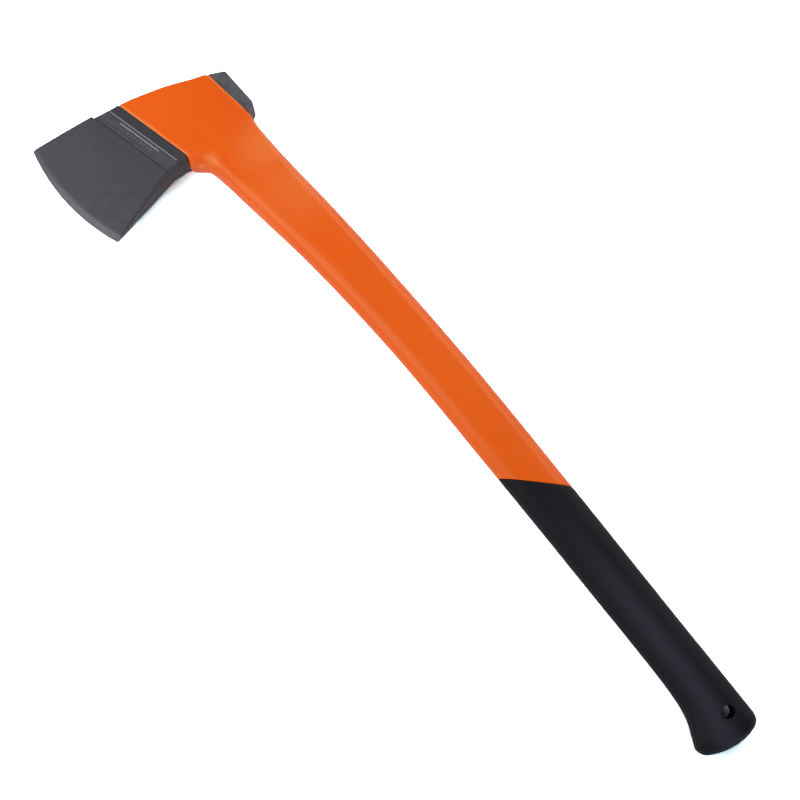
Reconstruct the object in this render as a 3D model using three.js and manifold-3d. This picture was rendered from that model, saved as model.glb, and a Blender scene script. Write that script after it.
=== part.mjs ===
// Axe with a flat poll: a forged steel head held in a hollow moulded handle, with a soft grip over its end.
// Lengths are in millimetres. The axe lies on its side: +X runs from the head to the butt, -Y points from
// the handle's axis to the cutting edge, and +Z is up through the thickness, with the mid-plane at Z = 0.
import * as THREE from "three";
import { mergeVertices } from "three/addons/utils/BufferGeometryUtils.js";
import Module from "manifold-3d";

const { degToRad, lerp } = THREE.MathUtils;

// Sizes that the whole axe shares
const clearance = 0.3; // gap between two pieces that touch
const cutRun = 20; // how far a cutting solid runs past what it cuts
const axe = { length: 700 }; // toe of the blade to the end of the butt

// Steel head
const edge = {
  length: 101.5, // straight from toe to heel
  bow: 8.2, // how far the arc of the edge swells past that line
  reach: 145.2, // middle of that line from the handle's axis
  tilt: degToRad(5),
  thickness: 0.4,
};
const bevel = { toeWidth: 3.2, heelWidth: 5.8, thickness: 5.4 };
const blade = {
  topLength: 79, // across the blade where it leaves the neck
  topReach: 86.1,
  middleThickness: 19.5,
  heelHollow: 0.8, // how far the heel side draws in halfway down
  cornerRound: 2.4,
};
const joint = {
  length: 74.2, // line where the steel meets the plastic, heel side to toe side
  reach: 65,
  place: 52.2, // its middle, measured along the axe from the toe
  tilt: degToRad(15.4),
  hook: 4.5, // how far the line turns towards the blade as it goes round the heel side
  hookSpan: 9,
};
const neck = {
  width: 11.6, // from the ridge to the groove
  thickness: 29.6,
  heelRound: 5,
  toeRound: 1.8,
  grooveDepth: 0.7,
  grooveWidth: 1.8,
};
const collar = { width: 6.9, thickness: 33.6, heelRound: 7, toeRound: 2 };
const poll = {
  faceLength: 34, // the striking face, along the axe
  faceTilt: degToRad(3.3),
  height: 10, // face from the line where the plastic ends
  baseLength: 45,
  baseTilt: degToRad(8.6),
  basePlace: 62.4,
  faceShift: 0.7, // middle of the face beyond the middle of the base
  thickness: 33.6,
  edgeRound: 1.8, // rounding from the face and the ends to the flanks
  cornerRound: 0.5, // rounding of the flanks' own corners, which the edge's rounding goes round
};
const web = {
  thickness: 18, // plate inside the plastic, between the collar and the poll
  toeInset: 11,
  heelInset: 16,
  pollInset: 4.5,
  windowWidth: 9,
  windowLength: 30,
};

// Moulded handle
const wrap = { thickness: 34.6, edgeRound: 3.2 }; // the flat-sided part round the head
const shell = {
  wall: 4.2,
  hollowStart: 150, // where the hollow begins, from the toe
  throatRound: 8,
};
const grip = {
  depth: 40.4, // front to back at its middle, and what the whole shaft is measured by
  thickness: 27.6,
  skin: 2.6,
  endSkin: 6,
  start: 453.5, // where its slanted upper edge crosses the axis, from the toe
  slant: degToRad(46),
};
const butt = {
  frontRun: 10, // length of the rounding at the front corner
  frontDrop: 7.2,
  backRun: 9,
  backDrop: 6,
  faceRound: 4, // rounding from the sides to the end face
  bow: 3.8,
};
const plug = { length: 34 };
const hole = {
  bore: 10.5,
  linerWall: 2,
  fromEnd: 23,
  behindAxis: 4.5,
};

// Counts of steps in the curved surfaces
const cornerSteps = 5;
const flankSteps = 4;
const edgeSteps = 14; // along the arc of the cutting edge
const rowSteps = 2;
const rollSteps = 5;
const bladeSteps = 6;
const roundSteps = 32;

const wasm = await Module();
wasm.setup();

// Solid of a closed geometry, with the vertices that its faces share merged into one.
function solidOf(geometry) {
  const bare = new THREE.BufferGeometry();
  bare.setAttribute("position", geometry.getAttribute("position"));
  bare.setIndex(geometry.index);
  const merged = mergeVertices(bare);
  return new wasm.Manifold(
    new wasm.Mesh({
      numProp: 3,
      vertProperties: merged.attributes.position.array,
      triVerts: Uint32Array.from(merged.index.array),
    }),
  );
}

// Plate of even thickness about the mid-plane, from its outline, with its long edges rounded.
function plate(outline, thickness, edgeRound = 0) {
  const geometry = new THREE.ExtrudeGeometry(new THREE.Shape(outline), {
    depth: thickness - 2 * edgeRound,
    bevelEnabled: edgeRound > 0,
    bevelThickness: edgeRound,
    bevelSize: edgeRound,
    bevelOffset: -edgeRound,
    bevelSegments: cornerSteps,
  });
  geometry.translate(0, 0, edgeRound - thickness / 2);
  return solidOf(geometry);
}

// Round bar across the axe, through both of its sides.
function crossBar(place, diameter) {
  const length = poll.thickness + cutRun;
  const geometry = new THREE.CylinderGeometry(diameter / 2, diameter / 2, length, roundSteps);
  geometry.rotateX(Math.PI / 2);
  geometry.translate(place.x, place.y, 0);
  return solidOf(geometry);
}

// Outline of a slot with round ends, centred on a place and lying along a direction.
function slotOutline(place, along, length, width) {
  const turn = Math.atan2(along.y, along.x);
  const points = [];
  for (let i = 0; i < roundSteps; i++) {
    const angle = ((i + 0.5) / roundSteps) * 2 * Math.PI;
    const run = Math.sign(Math.cos(angle)) * (length - width) * 0.5;
    const point = new THREE.Vector2(Math.cos(angle), Math.sin(angle)).multiplyScalar(width / 2);
    point.x += run;
    points.push(point.rotateAround(new THREE.Vector2(), turn).add(place));
  }
  return points;
}

// Arc that rounds a corner of a convex outline, from the corners before and after it, anticlockwise.
function roundedCorner(before, corner, after, radius) {
  const back = before.clone().sub(corner).normalize();
  const on = after.clone().sub(corner).normalize();
  const halfAngle = Math.acos(back.dot(on)) / 2;
  const centre = back.clone().add(on).setLength(radius / Math.sin(halfAngle)).add(corner);
  const start = corner.clone().addScaledVector(back, radius / Math.tan(halfAngle));
  const points = [];
  for (let i = 0; i <= cornerSteps; i++) {
    points.push(start.clone().rotateAround(centre, (i / cornerSteps) * (Math.PI - 2 * halfAngle)));
  }
  return points;
}

// Convex outline, given anticlockwise, with every side moved out by a distance.
function grown(outline, distance) {
  return outline.map((corner, i) => {
    const before = outline[(i + outline.length - 1) % outline.length];
    const after = outline[(i + 1) % outline.length];
    const sideIn = corner.clone().sub(before).normalize();
    const sideOut = after.clone().sub(corner).normalize();
    const normalIn = new THREE.Vector2(sideIn.y, -sideIn.x);
    const normalOut = new THREE.Vector2(sideOut.y, -sideOut.x);
    const stretch = distance / (1 + normalIn.dot(normalOut));
    return corner.clone().add(normalIn.add(normalOut).multiplyScalar(stretch));
  });
}

// How far a symmetric swelling has risen at a share of its length.
function swell(share) {
  return 1 - (2 * share - 1) ** 2;
}

// Upper half of a section, from its front end to its back end: distance along, height above the mid-plane.
function sectionProfile(section, length) {
  const shoulder = section.half - section.crown;
  const points = [[0, 0]];
  const corner = (round, riseShare, step) => {
    const turn = (step / cornerSteps) * (Math.PI / 2);
    const rise = Math.min(riseShare * shoulder, shoulder);
    return [round * (1 - Math.cos(turn)), shoulder - rise * (1 - Math.sin(turn))];
  };
  for (let i = 0; i <= cornerSteps; i++) points.push(corner(section.frontRound, section.frontShare, i));
  for (let i = 1; i < section.flankSteps; i++) {
    points.push([lerp(section.frontRound, length - section.backRound, i / section.flankSteps), shoulder]);
  }
  for (let i = cornerSteps; i >= 0; i--) {
    const [distance, height] = corner(section.backRound, section.backShare, i);
    points.push([length - distance, height]);
  }
  points.push([length, 0]);
  return points.map(([distance, height]) => {
    return [distance, height + (height > 0 ? section.crown * swell(distance / length) : 0)];
  });
}

// Closed loop of a section in space: up and over from its front end to its back end, and back underneath.
function sectionLoop(section) {
  const along = section.back.clone().sub(section.front);
  const length = along.length();
  along.normalize();
  const ahead = new THREE.Vector2(along.y, -along.x);
  const upper = sectionProfile(section, length).map(([distance, height]) => {
    const turned = Math.max(0, 1 - distance / joint.hookSpan) ** 2;
    const shift = section.bow * swell(distance / length) - section.hook * turned;
    const point = section.front.clone().addScaledVector(along, distance).addScaledVector(ahead, shift);
    return new THREE.Vector3(point.x, point.y, height);
  });
  const lower = upper.slice(1, -1).reverse();
  return [...upper, ...lower.map((point) => new THREE.Vector3(point.x, point.y, -point.z))];
}

// Solid skinned over a row of sections, closed by a face at each end.
function loft(sections) {
  const loops = sections.map(sectionLoop);
  const count = loops[0].length;
  const last = count / 2;
  const positions = loops.flat().flatMap((point) => point.toArray());
  const indices = [];
  const start = (row) => row * count;
  for (let row = 0; row + 1 < loops.length; row++) {
    for (let i = 0; i < count; i++) {
      const next = (i + 1) % count;
      const [a, b] = [start(row) + i, start(row) + next];
      const [c, d] = [start(row + 1) + i, start(row + 1) + next];
      indices.push(a, c, d, a, d, b);
    }
  }
  const below = (i) => (count - i) % count;
  for (let i = 0; i < last; i++) {
    const strip = [i, i + 1, below(i + 1), below(i)];
    const halves = i === 0 ? [[0, 1, 2]] : i === last - 1 ? [[0, 1, 3]] : [[0, 1, 2], [0, 2, 3]];
    for (const [p, q, r] of halves) {
      indices.push(start(0) + strip[p], start(0) + strip[q], start(0) + strip[r]);
      const end = start(loops.length - 1);
      indices.push(end + strip[p], end + strip[r], end + strip[q]);
    }
  }
  const geometry = new THREE.BufferGeometry();
  geometry.setAttribute("position", new THREE.Float32BufferAttribute(positions, 3));
  geometry.setIndex(indices);
  return solidOf(geometry);
}

// A straight line across the head, from its heel side to its toe side.
function headLine(place, reach, length, tilt) {
  const middle = new THREE.Vector2(place, -reach);
  const half = new THREE.Vector2(Math.cos(tilt), Math.sin(tilt)).multiplyScalar(length / 2);
  return { front: middle.clone().add(half), back: middle.clone().sub(half) };
}

// The line that runs beside the joint, a distance nearer the edge, with the sides of the neck kept straight.
const neckLeanShare = 0.09;
function besideJoint(distance, length = joint.length) {
  const drop = (distance * (1 + neckLeanShare * Math.tan(joint.tilt))) / Math.cos(joint.tilt);
  return headLine(joint.place - neckLeanShare * drop, joint.reach + drop, length, joint.tilt);
}

const edgeMiddle = (edge.length * Math.cos(edge.tilt)) / 2;
const edgeLine = headLine(edgeMiddle, edge.reach, edge.length, edge.tilt);
const bladeTopPlaceShare = 0.475;
const bladeTop = headLine(bladeTopPlaceShare * edge.length, blade.topReach, blade.topLength, joint.tilt);

// How much of its half thickness each part of the head gives to the rounding of its edges
const bladeRiseShare = 0.2;
const grooveRiseShare = 0.5;
const neckRiseShare = 0.6;
const ridgeRiseShare = 0.8;
const collarRiseShare = 0.9;
const thinEdgeShare = 0.25; // the most of the blade's thickness that the rounding of its corners takes

// Sections of the head from the edge to the joint.
function headSections() {
  const section = (line, thickness, round, extra = {}) => ({
    ...line,
    half: thickness / 2,
    crown: 0,
    frontRound: round,
    backRound: round,
    frontShare: bladeRiseShare,
    backShare: bladeRiseShare,
    bow: 0,
    hook: 0,
    flankSteps: edgeSteps,
    ...extra,
  });
  const inward = (from, to, distance) => to.clone().sub(from).setLength(distance).add(from);
  const bevelLine = {
    front: inward(edgeLine.front, bladeTop.front, bevel.heelWidth),
    back: inward(edgeLine.back, bladeTop.back, bevel.toeWidth),
  };
  const sections = [section(edgeLine, edge.thickness, edge.thickness, { bow: -edge.bow })];
  const thickening = new THREE.QuadraticBezierCurve(
    new THREE.Vector2(0, bevel.thickness),
    new THREE.Vector2(0.5, 2 * blade.middleThickness - (bevel.thickness + neck.thickness) / 2),
    new THREE.Vector2(1, neck.thickness),
  );
  for (let i = 0; i <= bladeSteps; i++) {
    const share = i / bladeSteps;
    const line = {
      front: bevelLine.front.clone().lerp(bladeTop.front, share),
      back: bevelLine.back.clone().lerp(bladeTop.back, share),
    };
    line.front.x -= blade.heelHollow * swell(share);
    const thickness = thickening.getPoint(share).y;
    const round = Math.min(blade.cornerRound, thinEdgeShare * thickness);
    sections.push(section(line, thickness, round, { bow: -edge.bow * (1 - share) ** 2 }));
  }
  const rounded = (distance, thickness, { heelRound, toeRound }, heelShare) => {
    const ends = { frontShare: heelShare, backRound: toeRound, backShare: toeRound / (thickness / 2) };
    return section(besideJoint(distance), thickness, heelRound, ends);
  };
  const ridge = collar.width;
  const groove = collar.width + neck.width;
  const grooveThickness = neck.thickness - 2 * neck.grooveDepth;
  const ridgeThickness = collar.thickness - neck.grooveDepth;
  sections.push(rounded(groove, grooveThickness, neck, grooveRiseShare));
  sections.push(rounded(groove - neck.grooveWidth, neck.thickness, neck, neckRiseShare));
  sections.push(rounded(ridge + neck.grooveWidth, ridgeThickness, neck, ridgeRiseShare));
  sections.push(rounded(ridge, collar.thickness, collar, collarRiseShare));
  sections.push({ ...rounded(0, collar.thickness, collar, collarRiseShare), hook: joint.hook });
  return sections;
}

// Outline of the poll, anticlockwise from the head-end corner of its base.
function pollOutline() {
  const line = (place, reach, length, tilt) => {
    const middle = new THREE.Vector2(place, reach);
    const half = new THREE.Vector2(Math.cos(tilt), Math.sin(tilt)).multiplyScalar(length / 2);
    return [middle.clone().sub(half), middle.clone().add(half)];
  };
  const [baseHead, baseButt] = line(poll.basePlace, 0, poll.baseLength, poll.baseTilt);
  const [faceHead, faceButt] = line(
    poll.basePlace + poll.faceShift,
    poll.height,
    poll.faceLength,
    poll.faceTilt,
  );
  return [baseHead, baseButt, faceButt, faceHead];
}

// Outline of the web, anticlockwise, sunk into the collar at one end and into the poll at the other.
function webOutline() {
  const line = besideJoint(collar.width / 2);
  const across = line.front.clone().sub(line.back).normalize();
  const [baseHead, baseButt] = pollOutline();
  const base = baseButt.clone().sub(baseHead).normalize();
  const sink = new THREE.Vector2(-base.y, base.x).multiplyScalar(poll.height / 2);
  return [
    line.back.clone().addScaledVector(across, web.toeInset),
    line.front.clone().addScaledVector(across, -web.heelInset),
    baseButt.clone().addScaledVector(base, -web.pollInset).add(sink),
    baseHead.clone().addScaledVector(base, web.pollInset).add(sink),
  ];
}

// The windows in the web, which the plastic flows through, made smaller by a distance on every side.
function webWindows(less) {
  const [collarToe, collarHeel, pollButt, pollHead] = webOutline();
  const windowShares = [0.28, 0.72];
  return windowShares.map((share) => {
    const near = collarToe.clone().lerp(collarHeel, share);
    const far = pollHead.clone().lerp(pollButt, share);
    const place = near.clone().lerp(far, 0.5);
    const length = web.windowLength - 2 * less;
    const width = web.windowWidth - 2 * less;
    return plate(slotOutline(place, far.clone().sub(near), length, width), poll.thickness + cutRun);
  });
}

// Rows of the handle's outside, from the joint to the butt. In the wrap the ends are shares of the edge's
// length and of the joint's reach, thickness and crown are shares of the wrap's thickness, and the two
// roundings are shares of the throat's and of the wrap's own. The hook is a share of the joint's.
const wrapRowShares = [
  { front: [0.901, -0.85], back: [0.185, -0.972], hook: 0.55, thick: 1, crown: 0, round: [1, 1] },
  { front: [0.939, -0.828], back: [0.219, -0.777], hook: 0.15, thick: 1, crown: 0, round: [1, 1] },
  { front: [0.977, -0.768], back: [0.272, -0.514], hook: 0, thick: 1, crown: 0, round: [1, 1] },
  { front: [1.025, -0.729], back: [0.347, -0.225], hook: 0, thick: 1, crown: 0, round: [1, 1] },
  { front: [1.089, -0.708], back: [0.424, 0.0], hook: 0, thick: 1, crown: 0, round: [1, 1] },
  { front: [1.167, -0.686], back: [0.611, 0.1], hook: 0, thick: 0.995, crown: 0, round: [1, 1] },
  { front: [1.271, -0.666], back: [0.867, 0.034], hook: 0, thick: 0.94, crown: 0.012, round: [1, 1.2] },
];
// In the shaft the ends are shares of the axe length and of half the grip's depth, thickness and crown are
// shares of the grip's thickness, and both roundings are shares of the throat's.
const shaftRowShares = [
  { front: [0.2414, -1.853], back: [0.193, 0.285], thick: 1.075, crown: 0.03, round: [1, 0.75] },
  { front: [0.285, -1.635], back: [0.2543, 0.485], thick: 1.01, crown: 0.04, round: [1, 0.75] },
  { front: [0.345, -1.42], back: [0.33, 0.67], thick: 0.975, crown: 0.045, round: [1, 0.75] },
  { front: [0.431, -1.205], back: [0.4286, 0.84], thick: 0.96, crown: 0.05, round: [1, 0.75] },
  { front: [0.5029, -1.122], back: [0.5029, 0.932], thick: 0.96, crown: 0.055, round: [1, 0.75] },
  { front: [0.5757, -1.08], back: [0.5757, 0.971], thick: 0.96, crown: 0.06, round: [1, 0.75] },
  { front: [0.6471, -1.039], back: [0.6471, 0.985], thick: 0.97, crown: 0.07, round: [1, 0.8] },
  { front: [0.7186, -1.01], back: [0.7186, 0.999], thick: 0.98, crown: 0.09, round: [1.1, 0.9] },
  { front: [0.7871, -0.99], back: [0.7871, 1.001], thick: 0.99, crown: 0.12, round: [1.2, 1] },
  { front: [0.8571, -0.966], back: [0.8571, 1.005], thick: 1, crown: 0.14, round: [1.25, 1.1] },
  { front: [0.8971, -0.971], back: [0.8971, 1.015], thick: 1.005, crown: 0.14, round: [1.25, 1.1] },
  { front: [0.9286, -1.024], back: [0.9286, 1.02], thick: 1.015, crown: 0.13, round: [1.25, 1] },
  { front: [0.95, -1.166], back: [0.954, 1.024], thick: 1.03, crown: 0.12, round: [1.2, 0.95] },
  { front: [0.9657, -1.395], back: [0.971, 1.026], thick: 1.04, crown: 0.11, round: [1.15, 0.9] },
  { front: [0.9776, -1.576], back: [0.9843, 1.026], thick: 1.045, crown: 0.1, round: [1.1, 0.85] },
];
const roundRiseShare = 0.92;
const squareRows = 4; // rows of the wrap whose back edge stays square before it turns round

// Every number that sets a section of the handle, in one list, so that rows can be blended.
function handleRows() {
  const rows = [];
  const row = (front, back, half, crown, frontRound, backRound, backShare, hook) => {
    rows.push([...front.toArray(), ...back.toArray(), half, crown, frontRound, backRound, backShare, hook]);
  };
  const wrapHalf = wrap.thickness / 2;
  const squareShare = wrap.edgeRound / wrapHalf;
  const start = besideJoint(-clearance);
  row(start.front, start.back, wrapHalf, 0, shell.throatRound, wrap.edgeRound, squareShare, joint.hook);
  wrapRowShares.forEach((shares, i) => {
    const front = new THREE.Vector2(shares.front[0] * edge.length, shares.front[1] * joint.reach);
    const back = new THREE.Vector2(shares.back[0] * edge.length, shares.back[1] * joint.reach);
    const half = wrapHalf * shares.thick;
    const turned = Math.max(0, i - squareRows) / (wrapRowShares.length - squareRows);
    const backShare = lerp(squareShare, roundRiseShare, turned);
    const rounds = [shell.throatRound * shares.round[0], wrap.edgeRound * shares.round[1]];
    row(front, back, half, wrap.thickness * shares.crown, ...rounds, backShare, joint.hook * shares.hook);
  });
  for (const shares of shaftRowShares) {
    const depth = grip.depth / 2;
    const front = new THREE.Vector2(shares.front[0] * axe.length, shares.front[1] * depth);
    const back = new THREE.Vector2(shares.back[0] * axe.length, shares.back[1] * depth);
    const half = (grip.thickness * shares.thick) / 2;
    const rounds = shares.round.map((share) => share * shell.throatRound);
    row(front, back, half, grip.thickness * shares.crown, ...rounds, roundRiseShare, 0);
  }
  return rows;
}

// Rows with further ones between them, on smooth curves through the given ones.
function blendedRows(rows) {
  const middle = (row) => new THREE.Vector2((row[0] + row[2]) / 2, (row[1] + row[3]) / 2);
  const places = [0];
  for (let i = 1; i < rows.length; i++) {
    places.push(places[i - 1] + middle(rows[i]).distanceTo(middle(rows[i - 1])));
  }
  const slope = (i, k) => {
    const before = Math.max(0, i - 1);
    const after = Math.min(rows.length - 1, i + 1);
    return (rows[after][k] - rows[before][k]) / (places[after] - places[before]);
  };
  const blended = [];
  for (let i = 0; i + 1 < rows.length; i++) {
    const span = places[i + 1] - places[i];
    for (let step = 0; step < rowSteps; step++) {
      const t = step / rowSteps;
      const arrived = 3 * t ** 2 - 2 * t ** 3;
      const leaving = (t ** 3 - 2 * t ** 2 + t) * span;
      const arriving = (t ** 3 - t ** 2) * span;
      blended.push(
        rows[i].map((value, k) => {
          return lerp(value, rows[i + 1][k], arrived) + leaving * slope(i, k) + arriving * slope(i + 1, k);
        }),
      );
    }
  }
  return [...blended, rows.at(-1)];
}

// Sections of the handle from the joint to the butt, set in from its outside by a distance.
function handleSections(inset) {
  const sections = blendedRows(handleRows()).map((row) => ({
    front: new THREE.Vector2(row[0], row[1]),
    back: new THREE.Vector2(row[2], row[3]),
    half: Math.min(row[4], wrap.thickness / 2),
    crown: Math.max(row[5], 0),
    frontRound: row[6],
    backRound: row[7],
    frontShare: roundRiseShare,
    backShare: row[8],
    hook: row[9],
    bow: 0,
    flankSteps,
  }));
  const flat = sections.at(-1);
  for (let i = 1; i <= rollSteps; i++) {
    const turn = (i / rollSteps) * (Math.PI / 2);
    const run = Math.sin(turn);
    const drop = 1 - Math.cos(turn);
    const half = flat.half - butt.faceRound * drop;
    sections.push({
      ...flat,
      front: flat.front.clone().add(new THREE.Vector2(butt.frontRun * run, butt.frontDrop * drop)),
      back: flat.back.clone().add(new THREE.Vector2(butt.backRun * run, -butt.backDrop * drop)),
      half,
      crown: flat.crown * (1 - drop / 2),
      bow: butt.bow * run,
    });
  }
  return sections.map((section) => {
    const along = section.back.clone().sub(section.front).normalize();
    return {
      ...section,
      front: section.front.clone().addScaledVector(along, inset),
      back: section.back.clone().addScaledVector(along, -inset),
      half: section.half - inset,
      frontRound: Math.max(section.frontRound - inset / 2, inset / 2),
      backRound: Math.max(section.backRound - inset / 2, inset / 2),
    };
  });
}

// Part of a solid on one side of an upright plane through a place, the side that a direction points to.
function keptBeyond(solid, place, direction) {
  const size = axe.length + cutRun;
  const block = new THREE.BoxGeometry(2 * size, 2 * size, 2 * size);
  block.translate(size, 0, 0);
  block.rotateZ(direction);
  block.translate(place.x, place.y, 0);
  return solid.intersect(solidOf(block));
}
const keptTowardsButt = (solid, x) => keptBeyond(solid, new THREE.Vector2(x, 0), 0);
const keptTowardsHead = (solid, x) => keptBeyond(solid, new THREE.Vector2(x, 0), Math.PI);

const buttEnd = axe.length;
const skinEnd = buttEnd - grip.endSkin;
const hollowInset = grip.skin + clearance + shell.wall;
const holePlace = new THREE.Vector2(buttEnd - hole.fromEnd, hole.behindAxis);
const linerDiameter = hole.bore + 2 * hole.linerWall;
// The slanted edge faces the butt and the front, square to its own line.
const slantFacing = grip.slant - Math.PI / 2;

// Form inside the soft grip, which the shell and the liner reach out to.
function coreForm(inset) {
  return keptTowardsHead(loft(handleSections(inset)), skinEnd - (inset - grip.skin));
}

// Block with the striking face, rounded on its free sides and square to the flanks at its base.
function makePoll() {
  const [baseHead, baseButt, faceButt, faceHead] = pollOutline();
  const head = baseHead.clone().sub(faceHead).setLength(cutRun).add(baseHead);
  const butt = baseButt.clone().sub(faceButt).setLength(cutRun).add(baseButt);
  const round = poll.cornerRound + poll.edgeRound;
  const outline = [
    head,
    butt,
    ...roundedCorner(butt, faceButt, faceHead, round),
    ...roundedCorner(faceButt, faceHead, head, round),
  ];
  return keptBeyond(plate(outline, poll.thickness, poll.edgeRound), baseHead, poll.baseTilt + Math.PI / 2);
}

function makeHead() {
  const windows = webWindows(0);
  let plain = plate(webOutline(), web.thickness);
  for (const window of windows) plain = plain.subtract(window);
  return loft(headSections()).add(makePoll()).add(plain);
}

function makeShell() {
  const slantPlace = new THREE.Vector2(grip.start, 0);
  const outside = keptBeyond(loft(handleSections(0)), slantPlace, slantFacing + Math.PI);
  let body = outside.add(keptTowardsButt(coreForm(grip.skin + clearance), grip.start - grip.depth));
  const hollow = keptTowardsButt(loft(handleSections(hollowInset)), shell.hollowStart);
  body = body.subtract(hollow);
  let pocket = plate(grown(webOutline(), clearance), web.thickness + 2 * clearance);
  for (const window of webWindows(clearance)) pocket = pocket.subtract(window);
  body = body.subtract(pocket);
  const [baseHead, baseButt, faceButt, faceHead] = grown(pollOutline(), clearance);
  const beyond = baseHead.clone().sub(baseButt).setLength(cutRun);
  const seat = [baseHead.clone().add(beyond), baseButt, faceButt, faceHead.clone().add(beyond)];
  body = body.subtract(plate(seat, poll.thickness + cutRun));
  return body.subtract(crossBar(holePlace, linerDiameter + 2 * clearance));
}

function makeGrip() {
  const edgeGap = clearance / Math.cos(slantFacing);
  const slantPlace = new THREE.Vector2(grip.start + edgeGap, 0);
  const outside = keptBeyond(loft(handleSections(0)), slantPlace, slantFacing);
  return outside.subtract(coreForm(grip.skin)).subtract(crossBar(holePlace, hole.bore));
}

function makePlug() {
  const form = loft(handleSections(hollowInset + clearance));
  const end = skinEnd - clearance;
  const body = keptTowardsHead(keptTowardsButt(form, end - plug.length), end);
  return body.subtract(crossBar(holePlace, linerDiameter + 2 * clearance));
}

function makeLiner() {
  const tube = crossBar(holePlace, linerDiameter).subtract(crossBar(holePlace, hole.bore));
  return tube.intersect(coreForm(grip.skin + clearance));
}

// Mesh of a solid, with a name and a finish.
function meshOf(name, solid, finish) {
  const { numProp, vertProperties, triVerts } = solid.getMesh();
  const geometry = new THREE.BufferGeometry();
  const interleaved = new THREE.InterleavedBuffer(vertProperties, numProp);
  geometry.setAttribute("position", new THREE.InterleavedBufferAttribute(interleaved, 3, 0));
  geometry.setIndex(new THREE.BufferAttribute(triVerts, 1));
  const flat = geometry.toNonIndexed();
  flat.computeVertexNormals();
  const mesh = new THREE.Mesh(flat, new THREE.MeshStandardMaterial(finish));
  mesh.name = name;
  return mesh;
}

const finishes = {
  steel: { color: 0x4e4e53, roughness: 0.55, metalness: 0.6 },
  plastic: { color: 0xe86224, roughness: 0.42, metalness: 0 },
  rubber: { color: 0x252429, roughness: 0.7, metalness: 0 },
  innerPlastic: { color: 0x2b2b2e, roughness: 0.6, metalness: 0 },
};

const assembly = new THREE.Group();
assembly.add(meshOf("axe_head", makeHead(), finishes.steel));
assembly.add(meshOf("handle_shell", makeShell(), finishes.plastic));
assembly.add(meshOf("grip_sleeve", makeGrip(), finishes.rubber));
assembly.add(meshOf("butt_plug", makePlug(), finishes.innerPlastic));
assembly.add(meshOf("hang_hole_liner", makeLiner(), finishes.innerPlastic));

// The origin goes under the middle of the axe, on the surface that it lies on.
const box = new THREE.Box3().setFromObject(assembly);
const middle = box.getCenter(new THREE.Vector3());
assembly.position.set(-middle.x, -middle.y, -box.min.z);

export default assembly;
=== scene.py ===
"""Looks of a flat-poll axe: a coated steel head, an orange moulded handle and a black soft grip."""
import math
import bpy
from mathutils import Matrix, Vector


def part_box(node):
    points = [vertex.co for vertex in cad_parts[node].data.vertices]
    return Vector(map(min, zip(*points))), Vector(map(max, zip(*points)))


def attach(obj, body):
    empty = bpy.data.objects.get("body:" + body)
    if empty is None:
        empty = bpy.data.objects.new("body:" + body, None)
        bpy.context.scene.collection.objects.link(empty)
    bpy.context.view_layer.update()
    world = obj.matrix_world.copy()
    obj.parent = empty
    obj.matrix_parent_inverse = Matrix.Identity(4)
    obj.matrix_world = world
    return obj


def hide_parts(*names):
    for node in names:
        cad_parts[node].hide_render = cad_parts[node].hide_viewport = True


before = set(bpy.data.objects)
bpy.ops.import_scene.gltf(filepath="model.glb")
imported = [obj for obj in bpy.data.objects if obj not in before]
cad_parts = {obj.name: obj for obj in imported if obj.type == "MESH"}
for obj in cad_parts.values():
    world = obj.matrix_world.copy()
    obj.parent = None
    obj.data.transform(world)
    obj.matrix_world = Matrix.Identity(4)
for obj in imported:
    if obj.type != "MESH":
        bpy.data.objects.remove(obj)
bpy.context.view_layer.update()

from types import SimpleNamespace

import bmesh
import bpy
import numpy as np
from mathutils import Matrix, Vector

# Sizes in metres, in the axe's own directions: x from the toe of the blade to the butt, y from the
# handle's axis to the poll, z up from the mid-plane. They repeat the sizes of the solids, but for the
# width and depth of the groove, the rounding of the throat, the bow of the butt and what only shows here.
clearance = 0.0003
axe_length = 0.7
edge = SimpleNamespace(length=0.1015, bow=0.0082, reach=0.1452, tilt=math.radians(5), thickness=0.0004)
bevel = SimpleNamespace(
    toe_width=0.0032,
    heel_width=0.0058,
    thickness=0.0054,
    blend=0.0006,
    toe_shine=0.6,
    full_shine_share=0.45,
)
blade = SimpleNamespace(
    top_length=0.079,
    top_reach=0.0861,
    top_place_share=0.475,  # of the edge's length
    middle_thickness=0.0195,
    heel_hollow=0.0008,
    corner_round=0.0024,
    heel_blend=0.55,  # where its heel side starts to round like the neck's
)
joint = SimpleNamespace(
    length=0.0742, reach=0.065, place=0.0522, tilt=math.radians(15.4), hook=0.0045, hook_span=0.009
)
neck = SimpleNamespace(
    width=0.0116,
    thickness=0.0296,
    heel_round=0.005,
    toe_round=0.0018,
    groove_depth=0.0006,
    groove_width=0.0029,
    toe_reach=0.0021,
    lean_share=0.09,  # shift towards the toe for its drop
)
collar = SimpleNamespace(width=0.0069, thickness=0.0336, heel_round=0.007, toe_round=0.002)
ridge = SimpleNamespace(width=0.0016, height=0.0004)
poll = SimpleNamespace(
    face_length=0.034,
    face_tilt=math.radians(3.3),
    height=0.010,
    base_length=0.045,
    base_tilt=math.radians(8.6),
    base_place=0.0624,
    face_shift=0.0007,
    thickness=0.0336,
    edge_round=0.0018,
    corner_round=0.0005,
)
web = SimpleNamespace(thickness=0.018, toe_inset=0.011, heel_inset=0.016, poll_inset=0.0045)
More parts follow.
